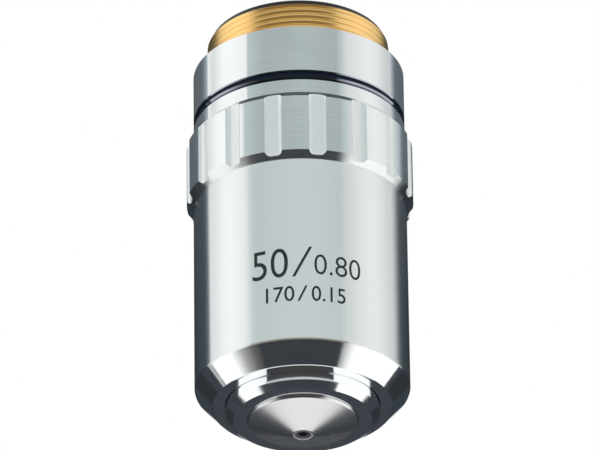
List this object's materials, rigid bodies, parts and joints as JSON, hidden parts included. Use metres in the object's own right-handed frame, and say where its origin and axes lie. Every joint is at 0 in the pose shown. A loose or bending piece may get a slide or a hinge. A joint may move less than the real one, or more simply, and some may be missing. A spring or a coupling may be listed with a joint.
{
  "type": "microscope objective",
  "caption": "High-power microscope objective with a screw mount, a colour ring, a fluted grip, a plated barrel and a nose that slides back into the barrel against a coil spring.",
  "frame": {"origin": "on the optical axis, in the plane of the mounting shoulder", "axes": "+Z along the optical axis, out of the mounting thread towards the eyepiece; the nose points to -Z"},
  "size_m": [0.025, 0.025, 0.0491],
  "materials": {
    "plated_brass": "satin chrome plate",
    "brass": "turned",
    "blue_lacquer": "matt",
    "black_metal": "matt black",
    "steel": "bright",
    "glass": "coated"
  },
  "bodies": {
    "barrel": {"mount_body": "brass", "colour_ring": "blue_lacquer", "outer_sleeve": "plated_brass", "stop_shim": "steel", "return_spring": "steel"},
    "carriage": {"lens_carriage": "plated_brass", "guide_pin": "steel", "nose_cone": "plated_brass", "front_lens": "glass", "meniscus_lens": "glass", "meniscus_retainer": "black_metal", "first_cell": "black_metal", "first_crown": "glass", "first_flint": "glass", "first_spacer": "black_metal", "second_cell": "black_metal", "second_crown": "glass", "second_flint": "glass", "centring_screws": "steel", "second_spacer": "black_metal", "rear_cell": "black_metal", "rear_crown": "glass", "rear_flint": "glass", "aperture_stop": "black_metal", "retaining_ring": "black_metal"}
  },
  "joints": [
    {"name": "nose_slide", "type": "slide", "parent": "barrel", "child": "carriage", "axis": [0, 0, 1], "range_m": [0, 0.0025], "stiffness_N_per_m": 500, "springref_m": -0.004, "deforming": ["return_spring"]}
  ]
}
